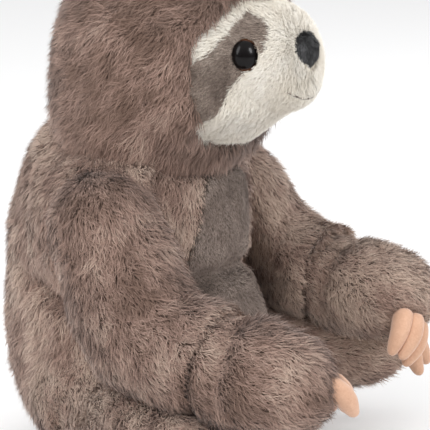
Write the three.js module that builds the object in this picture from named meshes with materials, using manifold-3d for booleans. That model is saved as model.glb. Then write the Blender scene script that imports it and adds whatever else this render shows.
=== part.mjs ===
// A seated plush sloth with a hooded face, soft curved claws and a weighted seat.
// Millimetres, +Z up. The toy faces -Y, its own left side is +X, and it sits on Z = 0.

import * as THREE from 'three';
import { mergeVertices } from 'three/addons/utils/BufferGeometryUtils.js';
import Module from 'manifold-3d';

const wasm = await Module();
wasm.setup();

// Fabric, gaps and overruns
const plushThickness = 3;
const seamGap = 0.3;
const jointGap = 0.9;
const overrun = 5;
const seatCutDepth = 0.5;

// Torso
const torsoHeight = 206;
const torsoHalfWidth = 69;
const torsoHalfDepth = 71;
const chestForward = 10;
const bellyHalfWidth = 33;
const bellyTop = 176;
const bellyBottom = 64;

// Pellet bag in the seat
const pelletHalfWidth = 40;
const pelletHalfDepth = 42;
const pelletHalfHeight = 20;
const pelletForward = 0;
const pelletRise = -1;

// Head and its turning axis
const headRadius = 68.5;
const headHalfHeight = 69;
const headForward = 38.5;
const headCentreHeight = 231;
const neckTiltDegrees = 12;

// Muzzle, nose and mouth
const muzzleReach = 85;
const muzzleHalfLength = 46;
const muzzleHalfWidth = 38;
const muzzleHalfHeight = 33;
const muzzleRise = 4;
const noseHalfWidth = 14;
const noseHalfHeight = 10.8;
const noseHalfDepth = 9;
const noseRise = 9;
const noseReach = 80.5;
const mouthHalfWidth = 12.5;
const mouthDrop = 20;
const mouthCurl = 2.5;
const stitchRadius = 1;

// Safety eyes
const eyeRadius = 9.3;
const eyeDomeHeight = 6;
const eyeSeatDepth = 1;
const eyeStemRadius = 3;
const eyeStemLength = 14;
const eyeWasherRadius = 8;
const eyeWasherThickness = 1.8;
const eyeWasherDepth = 7;
const eyeSideDegrees = 27.5;
const eyeUpDegrees = 9;
const eyeFacingDegrees = 17;

// Arms, as places seen from the body's axis
const shoulderHeight = 146;
const shoulderRadius = 30;
const shoulderSeat = 7;
const elbowRadius = 32;
const wristRadius = 31;
const handRadius = 29;
const handFlatShares = [1, 0.95];
const nearElbow = { side: 81, forward: 73, height: 92 };
const nearWrist = { side: 82, forward: 124, height: 82 };
const nearHandEnd = { side: 79, forward: 181, height: 77 };
const farElbow = { side: 80, forward: 55, height: 110 };
const farWrist = { side: 80, forward: 106, height: 95 };
const farHandEnd = { side: 75, forward: 163, height: 89 };
const shoulderRaiseDegrees = 45;
const shoulderFacingDegrees = 70;
const shoulderLeanDegrees = 9;
const wristRaiseDegrees = 18;

// Legs, as places seen from the body's axis
const hipSide = 40;
const hipForward = 22;
const hipHeight = 36;
const hipRadius = 32;
const kneeRadius = 27;
const ankleRadius = 24;
const footRadius = 24;
const nearKnee = { side: 80, forward: 70, height: 36 };
const nearFootEnd = { side: 116, forward: 124, height: 36 };
const farKnee = { side: 80, forward: 74, height: 46 };
const farFootEnd = { side: 116, forward: 132, height: 54 };
const nearHipDropDegrees = 5;
const farHipDropDegrees = 12;
const soleRadius = 15;
const soleForwardShare = 0.6;
const rootOpeningShare = 0.6;

// Claws
const clawLength = 27;
const clawRadius = 6;
const clawSlimShare = 0.7;
const clawRootDepth = 4;
const handCurlShare = 0.6;
const footCurlShare = 0;
const footClawSpreadDegrees = 36;
const clawPathShares = [{ along: 0, curl: 0 }, { along: 0.32, curl: 0.29 }, { along: 0.42, curl: 0.66 }];
const clawTaperShares = [1, 1, 0.94, 0.7];
const clawFlatShares = [1, 0.85];
const nearHandClaws = [
  { dropDegrees: -8, inwardDegrees: 8 },
  { dropDegrees: -5, inwardDegrees: 31 },
  { dropDegrees: -1, inwardDegrees: 54 },
];
const farHandClaws = [
  { dropDegrees: 5, inwardDegrees: 47 },
  { dropDegrees: 11, inwardDegrees: 26 },
  { dropDegrees: 24, inwardDegrees: 5 },
];
const footClaws = [-1, 0, 1].map((place) => (
  { dropDegrees: -7, inwardDegrees: place * footClawSpreadDegrees }
));

// Surface quality
const torsoSides = 22;
const headSides = 22;
const headRings = 11;
const smallSides = 10;
const socketSides = 20;
const capTipShare = 0.5;
const soleSides = 14;
const eyeSides = 14;
const domeSteps = 5;
const limbCounts = { sides: 12, pathRings: 4, capRings: 3 };
const cutterCounts = { sides: 12, pathRings: 3, capRings: 2 };
const clawCounts = { sides: 7, pathRings: 4, capRings: 2 };
const threadCounts = { sides: 6, pathRings: 9, capRings: 0 };

const material = (color, roughness) => new THREE.MeshStandardMaterial({ color, roughness, metalness: 0 });
const brownPlush = material(0x82695f, 0.95);
const greyVelour = material(0x74665d, 0.9);
const creamPlush = material(0xdfd8c8, 0.92);
const patchPlush = material(0x75655d, 0.93);
const blackPlush = material(0x212423, 0.85);
const clawSuede = material(0xdbb69c, 0.88);
const glossBrown = material(0x24130d, 0.05);
const washerWhite = material(0xe8e6e0, 0.5);
const threadBrown = material(0x5f4636, 0.9);
const fibreWhite = material(0xf0efea, 1);
const bagCloth = material(0xd6d3cb, 0.9);

const radians = THREE.MathUtils.degToRad;
const upAxis = new THREE.Vector3(0, 0, 1);
const sideAxis = new THREE.Vector3(1, 0, 0);
const latheAxis = new THREE.Vector3(0, 1, 0);
const headCentre = new THREE.Vector3(0, -headForward, headCentreHeight);
const neckTurn = new THREE.Quaternion().setFromAxisAngle(sideAxis, radians(neckTiltDegrees));

const sloth = new THREE.Group();
sloth.name = 'plush_sloth';

// A closed surface becomes a solid that can be joined and cut.
function solidOf(geometry) {
  const bare = geometry.clone();
  bare.deleteAttribute('normal');
  bare.deleteAttribute('uv');
  const merged = mergeVertices(bare);
  const mesh = new wasm.Mesh({
    numProp: 3,
    vertProperties: new Float32Array(merged.attributes.position.array),
    triVerts: new Uint32Array(merged.index.array),
  });
  return new wasm.Manifold(mesh);
}

function geometryOf(solid) {
  const mesh = solid.getMesh();
  const geometry = new THREE.BufferGeometry();
  geometry.setAttribute('position', new THREE.BufferAttribute(new Float32Array(mesh.vertProperties), 3));
  geometry.setIndex(new THREE.BufferAttribute(new Uint32Array(mesh.triVerts), 1));
  geometry.computeVertexNormals();
  return geometry;
}

function addPiece(name, solid, pieceMaterial) {
  const piece = new THREE.Mesh(geometryOf(solid), pieceMaterial);
  piece.name = name;
  sloth.add(piece);
}

// Rings of points are skinned from the first to the last, and each end is closed by a fan.
function loft(rings) {
  const points = rings.flat();
  const sides = rings[0].length;
  const index = [];
  for (let ring = 0; ring + 1 < rings.length; ring += 1) {
    for (let side = 0; side < sides; side += 1) {
      const next = (side + 1) % sides;
      const a = ring * sides + side;
      const b = ring * sides + next;
      index.push(a, b, b + sides, a, b + sides, a + sides);
    }
  }
  const ends = [rings[0], rings[rings.length - 1]];
  ends.forEach((ring, end) => {
    const centre = new THREE.Vector3();
    ring.forEach((point) => centre.add(point));
    points.push(centre.divideScalar(sides));
    const first = end === 0 ? 0 : (rings.length - 1) * sides;
    for (let side = 0; side < sides; side += 1) {
      const next = (side + 1) % sides;
      const corners = end === 0 ? [first + next, first + side] : [first + side, first + next];
      index.push(points.length - 1, ...corners);
    }
  });
  const geometry = new THREE.BufferGeometry().setFromPoints(points);
  geometry.setIndex(index);
  return geometry;
}

// One ring about a centre, with its two half axes given as vectors.
function ringAt(centre, halfAcross, halfUp, sides) {
  return Array.from({ length: sides }, (_, side) => {
    const turn = (2 * Math.PI * side) / sides;
    return centre.clone()
      .addScaledVector(halfAcross, Math.cos(turn))
      .addScaledVector(halfUp, Math.sin(turn));
  });
}

// The torso swells at the seat, draws in at the waist, and fills out again at the chest.
// Each row: height share, radius share, forward share of chestForward.
const torsoShares = [
  [0, 0.46, 0.5], [0.025, 0.62, 0.5], [0.075, 0.75, 0.5], [0.145, 0.86, 0.5], [0.235, 0.94, 0.5],
  [0.33, 0.985, 0.5], [0.42, 0.995, 0.5], [0.5, 0.965, 0.45], [0.57, 0.965, 0.5], [0.65, 0.965, 0.65],
  [0.74, 0.93, 0.9], [0.82, 0.87, 1], [0.885, 0.77, 1], [0.945, 0.62, 0.9], [0.985, 0.4, 0.8],
];

// The torso's shares at any height, read between the rows.
function torsoRowAt(height) {
  const above = torsoShares.findIndex(([heightShare]) => heightShare >= height);
  const [highHeight, highRadius, highForward] = torsoShares[above];
  const [lowHeight, lowRadius, lowForward] = torsoShares[above - 1];
  const blend = (height - lowHeight) / (highHeight - lowHeight);
  return {
    radiusShare: THREE.MathUtils.lerp(lowRadius, highRadius, blend),
    forwardShare: THREE.MathUtils.lerp(lowForward, highForward, blend),
  };
}

function torsoForm(inset) {
  const rings = torsoShares.map(([heightShare, radiusShare, forwardShare], row) => {
    const base = row === 0 ? -seatCutDepth : 0;
    const top = torsoHeight - inset;
    const low = inset;
    const height = low + (top - low) * heightShare + base;
    const centre = new THREE.Vector3(0, -chestForward * forwardShare, height);
    const halfWidth = (torsoHalfWidth - inset) * radiusShare;
    const halfDepth = (torsoHalfDepth - inset) * radiusShare;
    const across = new THREE.Vector3(halfWidth, 0, 0);
    return ringAt(centre, across, new THREE.Vector3(0, halfDepth, 0), torsoSides);
  });
  return solidOf(loft(rings));
}

// A stuffed tube along a smooth path, with round ends where they are asked for.
// Negative inset makes it fatter.
function stuffedTube({
  path, radii, flats, slimShare = 1, acrossAxis, roundStart, roundEnd, inset, detail,
}) {
  const curve = new THREE.CatmullRomCurve3(path, false, 'centripetal');
  const rings = [];
  const radiusAt = (share) => {
    const place = share * (radii.length - 1);
    const row = Math.min(Math.floor(place), radii.length - 2);
    const blend = THREE.MathUtils.smoothstep(place - row, 0, 1);
    return THREE.MathUtils.lerp(radii[row], radii[row + 1], blend) - inset;
  };
  const flatAt = (share) => THREE.MathUtils.lerp(flats[0], flats[1], share);
  const addRing = (share, alongShare, roundShare) => {
    const tangent = curve.getTangent(share);
    const across = acrossAxis?.clone() ?? new THREE.Vector3().crossVectors(upAxis, tangent).normalize();
    const up = new THREE.Vector3().crossVectors(tangent, across).normalize();
    const radius = radiusAt(share);
    const centre = curve.getPoint(share).addScaledVector(tangent, radius * alongShare);
    across.multiplyScalar(radius * roundShare * slimShare);
    up.multiplyScalar(radius * roundShare * flatAt(share));
    rings.push(ringAt(centre, across, up, detail.sides));
  };
  const quarter = Math.PI / 2;
  const capTurns = Array.from({ length: detail.capRings }, (_, ring) => (
    quarter * ((ring + 1) / (detail.capRings + capTipShare))
  ));
  if (roundStart) {
    [...capTurns].reverse().forEach((turn) => addRing(0, -Math.sin(turn), Math.cos(turn)));
  }
  for (let ring = 0; ring <= detail.pathRings; ring += 1) {
    addRing(ring / detail.pathRings, 0, 1);
  }
  if (roundEnd) {
    capTurns.forEach((turn) => addRing(1, Math.sin(turn), Math.cos(turn)));
  }
  return solidOf(loft(rings));
}

function ball(centre, radius, sides) {
  const geometry = new THREE.SphereGeometry(radius, sides, sides / 2);
  geometry.rotateX(Math.PI / 2);
  geometry.translate(centre.x, centre.y, centre.z);
  return solidOf(geometry);
}

// A closed outline that runs against the clock is drawn in on every side by a gap.
function drawnIn(outline, gap) {
  return outline.map((point, index) => {
    const before = outline[(index + outline.length - 1) % outline.length];
    const after = outline[(index + 1) % outline.length];
    const arriving = point.clone().sub(before).normalize();
    const leaving = after.clone().sub(point).normalize();
    const inward = new THREE.Vector2(-arriving.y - leaving.y, arriving.x + leaving.x).normalize();
    const corner = inward.x * -leaving.y + inward.y * leaving.x;
    return point.clone().addScaledVector(inward, gap / corner);
  });
}

// A prism along the forward axis from a closed outline.
function forwardPrism(outline, gap, start, end) {
  const clockwise = THREE.ShapeUtils.isClockWise(outline);
  const ordered = clockwise ? [...outline].reverse() : outline;
  const options = { depth: end - start, bevelEnabled: false, steps: 1 };
  const geometry = new THREE.ExtrudeGeometry(new THREE.Shape(drawnIn(ordered, gap)), options);
  geometry.rotateX(Math.PI / 2);
  geometry.translate(0, -start, 0);
  return solidOf(geometry);
}

// Points given for the +X half, from the top to the bottom, are mirrored to close the outline.
function mirrored(half) {
  const other = half.filter(([across]) => across > 0).reverse().map(([across, up]) => [-across, up]);
  return [...half, ...other];
}

// Head
function headForm(inset) {
  const half = Math.PI / 2;
  const profile = Array.from({ length: headRings + 1 }, (_, ring) => {
    const turn = -half + (Math.PI * ring) / headRings;
    const radius = ring === 0 || ring === headRings ? 0 : (headRadius - inset) * Math.cos(turn);
    return new THREE.Vector2(radius, (headHalfHeight - inset) * Math.sin(turn));
  });
  const geometry = new THREE.LatheGeometry(profile, headSides);
  geometry.rotateX(Math.PI / 2);
  geometry.applyQuaternion(neckTurn);
  geometry.translate(headCentre.x, headCentre.y, headCentre.z);
  return solidOf(geometry);
}

const muzzleCentre = new THREE.Vector3(0, -(muzzleReach - muzzleHalfLength), muzzleRise).add(headCentre);

function muzzleForm(inset) {
  const geometry = new THREE.SphereGeometry(1, headSides, headRings);
  geometry.rotateX(Math.PI / 2);
  geometry.scale(muzzleHalfWidth - inset, muzzleHalfLength - inset, muzzleHalfHeight - inset);
  geometry.translate(muzzleCentre.x, muzzleCentre.y, muzzleCentre.z);
  return solidOf(geometry);
}

function faceForm(inset) {
  return headForm(inset).add(muzzleForm(inset));
}

// A point on the muzzle, lifted off it, from its place across and above the muzzle's middle.
function onMuzzle(across, up, lift) {
  const acrossShare = across / (muzzleHalfWidth + lift);
  const upShare = up / (muzzleHalfHeight + lift);
  const reach = (muzzleHalfLength + lift) * Math.sqrt(1 - acrossShare ** 2 - upShare ** 2);
  return new THREE.Vector3(across, -reach, up).add(muzzleCentre);
}

const mouthShares = [-1, -0.6, -0.2, 0.2, 0.6, 1];

// The hood's opening and the eye patches, as shares of the head's radius seen from the front.
const openingShares = mirrored([
  [0, 0.52], [0.13, 0.565], [0.34, 0.565], [0.5, 0.48], [0.64, 0.37], [0.76, 0.28], [0.8, 0.1],
  [0.79, -0.12], [0.73, -0.28], [0.62, -0.42], [0.48, -0.53], [0.27, -0.62], [0, -0.65],
]);
const patchShares = [
  [0.27, 0.45], [0.3, 0.35], [0.37, 0.24], [0.43, 0.12], [0.47, 0.01], [0.56, -0.11], [0.62, -0.23],
  [0.66, -0.4], [0.76, -0.34], [0.86, -0.12], [0.86, 0.03], [0.71, 0.14], [0.58, 0.26], [0.42, 0.38],
  [0.3, 0.45],
];

function headOutline(shares, side) {
  return shares.map(([across, up]) => new THREE.Vector2(
    side * across * headRadius,
    up * headRadius + headCentreHeight,
  ));
}

function facePrism(shares, side, gap) {
  return forwardPrism(headOutline(shares, side), gap, headForward, headForward + muzzleReach + overrun);
}

// A direction from the head's middle, by degrees to the side and degrees up.
function lookDirection(sideDegrees, upDegrees) {
  const level = Math.cos(radians(upDegrees));
  return new THREE.Vector3(
    level * Math.sin(radians(sideDegrees)),
    -level * Math.cos(radians(sideDegrees)),
    Math.sin(radians(upDegrees)),
  );
}

// Where an eye meets the face, and the way it looks, which is less to the side than its place.
function eyeSeat(side) {
  return {
    place: lookDirection(side * eyeSideDegrees, eyeUpDegrees).multiplyScalar(headRadius).add(headCentre),
    direction: lookDirection(side * eyeFacingDegrees, eyeUpDegrees),
  };
}

// A turned piece stands on its own axis, and is set at a place along a direction.
function turnedAt(profile, sides, { place, direction }) {
  const geometry = new THREE.LatheGeometry(profile, sides);
  geometry.applyQuaternion(new THREE.Quaternion().setFromUnitVectors(latheAxis, direction));
  geometry.translate(place.x, place.y, place.z);
  return solidOf(geometry);
}

function eyeStem(seat, gap) {
  const radius = eyeStemRadius + gap;
  const depth = -eyeStemLength - gap;
  const profile = [
    new THREE.Vector2(0, depth), new THREE.Vector2(radius, depth),
    new THREE.Vector2(radius, eyeSeatDepth), new THREE.Vector2(0, eyeSeatDepth),
  ];
  return turnedAt(profile, smallSides, seat);
}

function eyeDome(seat) {
  const profile = [new THREE.Vector2(0, -eyeSeatDepth)];
  for (let step = 0; step <= domeSteps; step += 1) {
    const turn = (Math.PI / 2) * (step / domeSteps);
    const radius = step === domeSteps ? 0 : eyeRadius * Math.cos(turn);
    profile.push(new THREE.Vector2(radius, eyeDomeHeight * Math.sin(turn)));
  }
  return turnedAt(profile, eyeSides, seat);
}

function eyeWasher(seat, gap) {
  const top = gap - eyeWasherDepth;
  const low = -eyeWasherDepth - eyeWasherThickness - gap;
  const inner = eyeStemRadius + seamGap - gap;
  const outer = eyeWasherRadius + gap;
  const profile = [
    new THREE.Vector2(inner, low), new THREE.Vector2(outer, low),
    new THREE.Vector2(outer, top), new THREE.Vector2(inner, top), new THREE.Vector2(inner, low),
  ];
  return turnedAt(profile, smallSides, seat);
}

function nosePad() {
  const geometry = new THREE.SphereGeometry(1, smallSides, smallSides / 2);
  geometry.rotateX(Math.PI / 2);
  geometry.scale(noseHalfWidth, noseHalfDepth, noseHalfHeight);
  geometry.translate(headCentre.x, headCentre.y - noseReach, headCentre.z + noseRise);
  return solidOf(geometry);
}

// The mouth is one short sewn thread that curves up at both ends.
function mouthThread() {
  const lift = stitchRadius + seamGap;
  const path = mouthShares.map((share) => (
    onMuzzle(share * mouthHalfWidth, mouthCurl * share * share - mouthDrop, lift)
  ));
  const radii = [stitchRadius, stitchRadius];
  return stuffedTube({ path, radii, flats: [1, 1], inset: 0, detail: threadCounts });
}

function addHead() {
  const faceSkin = faceForm(0).subtract(faceForm(plushThickness));
  const face = faceSkin.intersect(facePrism(openingShares, 1, seamGap));
  let mask = face;
  let stuffing = faceForm(plushThickness + seamGap);
  [['left', 1], ['right', -1]].forEach(([sideName, side]) => {
    const seat = eyeSeat(side);
    const stemHole = eyeStem(seat, seamGap);
    mask = mask.subtract(facePrism(patchShares, side, 0)).subtract(stemHole);
    const patch = face.intersect(facePrism(patchShares, side, seamGap)).subtract(stemHole);
    const dome = eyeDome(seat).subtract(faceForm(-seamGap));
    stuffing = stuffing.subtract(stemHole).subtract(eyeWasher(seat, seamGap));
    addPiece(`eye_patch_${sideName}`, patch, patchPlush);
    addPiece(`eye_${sideName}`, dome.add(eyeStem(seat, 0)), glossBrown);
    addPiece(`eye_washer_${sideName}`, eyeWasher(seat, 0), washerWhite);
  });
  const hood = headForm(0).subtract(headForm(plushThickness)).subtract(facePrism(openingShares, 1, 0));
  addPiece('head_hood', hood, brownPlush);
  addPiece('face_mask', mask, creamPlush);
  addPiece('head_stuffing', stuffing, fibreWhite);
  addPiece('nose', nosePad().subtract(faceForm(-seamGap)), blackPlush);
  addPiece('mouth_stitch', mouthThread(), threadBrown);
}

// Limbs
function bodyPoint(side, place) {
  return new THREE.Vector3(side * place.side, -place.forward, place.height);
}

// Steps back from one point toward another by a length.
function stepBack(point, toward, length) {
  return point.clone().addScaledVector(toward.clone().sub(point).normalize(), length);
}

// The arm swings about an axis that stands square to the torso's side, so its flat root face
// slides round on the torso without cutting into it.
function shoulderAxis(set) {
  const level = Math.cos(radians(shoulderLeanDegrees));
  return new THREE.Vector3(
    set.side * level * Math.sin(radians(shoulderFacingDegrees)),
    -level * Math.cos(radians(shoulderFacingDegrees)),
    Math.sin(radians(shoulderLeanDegrees)),
  );
}

// The point where that axis meets the torso's side.
function shoulderFoot(set) {
  const { radiusShare, forwardShare } = torsoRowAt(shoulderHeight / torsoHeight);
  const facing = radians(shoulderFacingDegrees);
  return new THREE.Vector3(
    set.side * torsoHalfWidth * radiusShare * Math.sin(facing),
    -chestForward * forwardShare - torsoHalfDepth * radiusShare * Math.cos(facing),
    shoulderHeight,
  );
}

function shoulderPoint(set) {
  return shoulderFoot(set).addScaledVector(shoulderAxis(set), shoulderSeat);
}

// A block that fills the torso's side of the arm's root face.
function rootFaceCut(set) {
  const size = 2 * torsoHeight;
  const geometry = new THREE.BoxGeometry(size, size, size);
  geometry.translate(0, -size / 2 + jointGap, 0);
  geometry.applyQuaternion(new THREE.Quaternion().setFromUnitVectors(latheAxis, shoulderAxis(set)));
  const foot = shoulderFoot(set);
  geometry.translate(foot.x, foot.y, foot.z);
  return solidOf(geometry);
}

const hipPlace = { side: hipSide, forward: hipForward, height: hipHeight };
const limbSets = [
  {
    sideName: 'left', side: 1, elbow: farElbow, wrist: farWrist, handEnd: farHandEnd,
    knee: farKnee, footEnd: farFootEnd, hipDropDegrees: farHipDropDegrees, handClaws: farHandClaws,
  },
  {
    sideName: 'right', side: -1, elbow: nearElbow, wrist: nearWrist, handEnd: nearHandEnd,
    knee: nearKnee, footEnd: nearFootEnd, hipDropDegrees: nearHipDropDegrees, handClaws: nearHandClaws,
  },
];

function armTube(set, inset, detail) {
  const wrist = bodyPoint(set.side, set.wrist);
  const elbow = bodyPoint(set.side, set.elbow);
  const shoulder = shoulderPoint(set);
  const cuff = wristRadius * Math.sin(radians(wristRaiseDegrees)) + jointGap;
  const end = stepBack(wrist, elbow, inset > 0 ? cuff - overrun : cuff);
  const radii = [shoulderRadius, elbowRadius, wristRadius];
  return stuffedTube({
    path: [shoulder, elbow, end], radii, flats: [1, 1], inset, detail, roundStart: true,
  });
}

function handTube(set, inset, detail) {
  const wrist = bodyPoint(set.side, set.wrist);
  const end = stepBack(bodyPoint(set.side, set.handEnd), wrist, handRadius);
  const middle = wrist.clone().lerp(end, 0.5);
  const radii = [wristRadius, wristRadius, handRadius];
  const path = [wrist, middle, end];
  return stuffedTube({
    path, radii, flats: handFlatShares, inset, detail, roundStart: true, roundEnd: true,
  });
}

function legTube(set, inset, detail) {
  const hip = bodyPoint(set.side, hipPlace);
  const knee = bodyPoint(set.side, set.knee);
  const end = stepBack(bodyPoint(set.side, set.footEnd), knee, footRadius);
  const radii = [hipRadius, kneeRadius, ankleRadius, footRadius];
  return stuffedTube({
    path: [hip, knee, end], radii, flats: [1, 1], inset, detail, roundStart: true, roundEnd: true,
  });
}

// Each claw leaves the paw along its own direction and curls down, and inwards by a share.
function clawPoses({ seats, forward, side, curlShare }) {
  const inward = new THREE.Vector3().crossVectors(forward, upAxis).multiplyScalar(side).normalize();
  const curl = inward.clone().multiplyScalar(curlShare).sub(upAxis);
  return seats.map(({ dropDegrees, inwardDegrees }) => {
    const level = Math.cos(radians(dropDegrees));
    const direction = new THREE.Vector3()
      .addScaledVector(forward, level * Math.cos(radians(inwardDegrees)))
      .addScaledVector(inward, level * Math.sin(radians(inwardDegrees)))
      .addScaledVector(upAxis, -Math.sin(radians(dropDegrees)))
      .normalize();
    return { direction, palmward: curl.clone().projectOnPlane(direction).normalize() };
  });
}

function clawForm(centre, surfaceRadius, { direction, palmward }, inset) {
  const root = centre.clone().addScaledVector(direction, surfaceRadius - clawRootDepth);
  const path = clawPathShares.map(({ along, curl }) => (
    root.clone().addScaledVector(direction, along * clawLength).addScaledVector(palmward, curl * clawLength)
  ));
  const radii = clawTaperShares.map((share) => share * clawRadius);
  const acrossAxis = new THREE.Vector3().crossVectors(direction, palmward);
  return stuffedTube({
    path, radii, flats: clawFlatShares, slimShare: clawSlimShare, acrossAxis, inset,
    detail: clawCounts, roundEnd: true,
  });
}

// Adds one paw's claws, and gives back the space that they need in the paw.
function addClaws(name, set, centre, surfaceRadius, shape) {
  const poses = clawPoses({ ...shape, side: set.side });
  poses.forEach((pose, index) => {
    const claw = clawForm(centre, surfaceRadius, pose, 0);
    addPiece(`${name}_claw_${set.sideName}_${index + 1}`, claw, clawSuede);
  });
  return wasm.Manifold.union(poses.map((pose) => clawForm(centre, surfaceRadius, pose, -seamGap)));
}

function wristSocket(set) {
  return ball(bodyPoint(set.side, set.wrist), wristRadius + jointGap, socketSides);
}

// The space of an arm and its hand, with the socket that the hand turns in.
function armEnvelope(set, grow) {
  const limbs = armTube(set, -grow, limbCounts).add(handTube(set, -grow, limbCounts));
  return limbs.add(wristSocket(set));
}

function addHand(set) {
  const wrist = bodyPoint(set.side, set.wrist);
  const handEnd = bodyPoint(set.side, set.handEnd);
  const forward = handEnd.clone().sub(wrist).normalize();
  const centre = stepBack(handEnd, wrist, handRadius);
  const shape = { seats: set.handClaws, forward, curlShare: handCurlShare };
  const clawSpace = addClaws('hand', set, centre, handRadius, shape);
  const root = wrist.clone().addScaledVector(forward, -wristRadius);
  const back = ball(root, rootOpeningShare * wristRadius, smallSides);
  const skin = handTube(set, 0, limbCounts).subtract(handTube(set, plushThickness, limbCounts));
  addPiece(`hand_${set.sideName}`, skin.subtract(back).subtract(clawSpace), brownPlush);
  const stuffing = handTube(set, plushThickness + seamGap, limbCounts).subtract(clawSpace);
  addPiece(`hand_stuffing_${set.sideName}`, stuffing, fibreWhite);
}

function addArm(set) {
  const ends = wristSocket(set).add(rootFaceCut(set));
  const sock = armTube(set, 0, limbCounts).subtract(armTube(set, plushThickness, limbCounts));
  const stuffing = armTube(set, plushThickness + seamGap, limbCounts).subtract(ends);
  addPiece(`arm_${set.sideName}`, sock.subtract(ends), brownPlush);
  addPiece(`arm_stuffing_${set.sideName}`, stuffing, fibreWhite);
  addHand(set);
}

// The sole's place on the foot, as a disc through its underside.
function soleDisc(centre, forward, gap) {
  const direction = forward.clone().multiplyScalar(soleForwardShare).sub(upAxis).normalize();
  const depth = footRadius + overrun;
  const geometry = new THREE.CylinderGeometry(soleRadius - gap, soleRadius - gap, depth, soleSides);
  geometry.translate(0, depth / 2, 0);
  geometry.applyQuaternion(new THREE.Quaternion().setFromUnitVectors(latheAxis, direction));
  geometry.translate(centre.x, centre.y, centre.z);
  return solidOf(geometry);
}

function addLeg(set) {
  const hip = bodyPoint(set.side, hipPlace);
  const knee = bodyPoint(set.side, set.knee);
  const footEnd = bodyPoint(set.side, set.footEnd);
  const forward = footEnd.clone().sub(knee).normalize();
  const centre = stepBack(footEnd, knee, footRadius);
  const armSpace = armEnvelope(set, seamGap);
  const shape = { seats: footClaws, forward, curlShare: footCurlShare };
  const clawSpace = addClaws('foot', set, centre, footRadius, shape);
  const root = hip.clone().add(hip.clone().sub(knee).setLength(hipRadius));
  const opening = ball(root, rootOpeningShare * hipRadius, smallSides);
  const sock = legTube(set, 0, limbCounts).subtract(legTube(set, plushThickness, limbCounts));
  const skin = sock.subtract(soleDisc(centre, forward, 0)).subtract(opening);
  const stuffing = legTube(set, plushThickness + seamGap, limbCounts);
  addPiece(`leg_${set.sideName}`, skin.subtract(clawSpace).subtract(armSpace), brownPlush);
  addPiece(`sole_${set.sideName}`, sock.intersect(soleDisc(centre, forward, seamGap)), greyVelour);
  addPiece(`leg_stuffing_${set.sideName}`, stuffing.subtract(clawSpace).subtract(armSpace), fibreWhite);
}

// Everything that the torso must leave free: the head, and each leg over its small swing.
function limbSpace(grow) {
  let space = headForm(-grow);
  limbSets.forEach((set) => {
    const swing = hipRadius * Math.sin(radians(set.hipDropDegrees / 2));
    space = space.add(legTube(set, -grow - swing, cutterCounts));
  });
  return space;
}

function floorCut() {
  const size = 4 * torsoHeight;
  const geometry = new THREE.BoxGeometry(size, size, size);
  geometry.translate(0, 0, -size / 2);
  return solidOf(geometry);
}

// A flattened bag of pellets that lies on the inside of the seat.
function pelletBag(grow) {
  const geometry = new THREE.SphereGeometry(1, 2 * smallSides, smallSides);
  geometry.rotateX(Math.PI / 2);
  geometry.scale(pelletHalfWidth + grow, pelletHalfDepth + grow, pelletHalfHeight + grow);
  geometry.translate(0, -pelletForward, plushThickness + seamGap + pelletRise + pelletHalfHeight);
  return solidOf(geometry);
}

// The belly panel's outline, as shares of its half width and half height.
const bellyShares = mirrored([
  [0, 1], [0.4, 0.93], [0.66, 0.7], [0.8, 0.3], [0.97, -0.15], [1, -0.5], [0.75, -0.85], [0.4, -0.97],
  [0, -1],
]);

function addTorso() {
  const lining = plushThickness + seamGap;
  const outer = torsoForm(0).subtract(limbSpace(jointGap)).subtract(floorCut());
  const inner = torsoForm(plushThickness).subtract(limbSpace(jointGap + plushThickness));
  const space = torsoForm(lining).subtract(limbSpace(jointGap + lining));
  const skin = outer.subtract(inner);
  const halfHeight = (bellyTop - bellyBottom) / 2;
  const middle = (bellyTop + bellyBottom) / 2;
  const outline = bellyShares.map(([across, up]) => new THREE.Vector2(
    across * bellyHalfWidth,
    middle + up * halfHeight,
  ));
  const bellyPrism = (gap) => forwardPrism(outline, gap, 0, 2 * torsoHalfDepth);
  addPiece('torso_shell', skin.subtract(bellyPrism(0)), brownPlush);
  addPiece('belly_panel', skin.intersect(bellyPrism(seamGap)), greyVelour);
  addPiece('torso_stuffing', space.subtract(pelletBag(seamGap)), fibreWhite);
  addPiece('pellet_bag', pelletBag(0).intersect(space), bagCloth);
}

addTorso();
addHead();
limbSets.forEach((set) => {
  addArm(set);
  addLeg(set);
});

const box = new THREE.Box3().setFromObject(sloth);
const middle = box.getCenter(new THREE.Vector3());
sloth.children.forEach((piece) => piece.position.set(-middle.x, -middle.y, 0));
sloth.updateMatrixWorld(true);
export default sloth;
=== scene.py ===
import math

import bmesh
import bpy
import numpy as np
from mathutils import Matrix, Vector
from mathutils.bvhtree import BVHTree


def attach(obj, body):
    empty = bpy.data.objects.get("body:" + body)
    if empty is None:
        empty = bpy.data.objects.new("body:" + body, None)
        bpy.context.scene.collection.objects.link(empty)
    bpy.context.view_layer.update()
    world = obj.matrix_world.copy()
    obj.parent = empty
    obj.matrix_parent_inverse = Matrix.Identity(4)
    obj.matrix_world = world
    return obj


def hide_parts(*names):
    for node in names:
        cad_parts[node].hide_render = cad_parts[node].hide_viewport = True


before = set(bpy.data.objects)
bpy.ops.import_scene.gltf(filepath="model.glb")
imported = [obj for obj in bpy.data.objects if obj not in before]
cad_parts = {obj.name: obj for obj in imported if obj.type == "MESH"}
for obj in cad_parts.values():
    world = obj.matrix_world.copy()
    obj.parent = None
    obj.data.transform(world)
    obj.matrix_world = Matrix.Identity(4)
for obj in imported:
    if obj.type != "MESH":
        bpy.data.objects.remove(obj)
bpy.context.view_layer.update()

# Stuffed cloth bodies. Each is a sewn plush sock, blown up tight by loose fibre, so it is one
# rounded form with soft dents. The cloth's backing shows between the hairs; its dark brown is
# partly the cloth's own colour and partly painted shade, for the shade deep in the pile.
seat_middle = Vector((-0.00071, 0.06295, 0.0))


def from_axis(side, forward, height):
    """A place given from the upright line through the middle of the seat."""
    return seat_middle + Vector((side, -forward, height))


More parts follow.
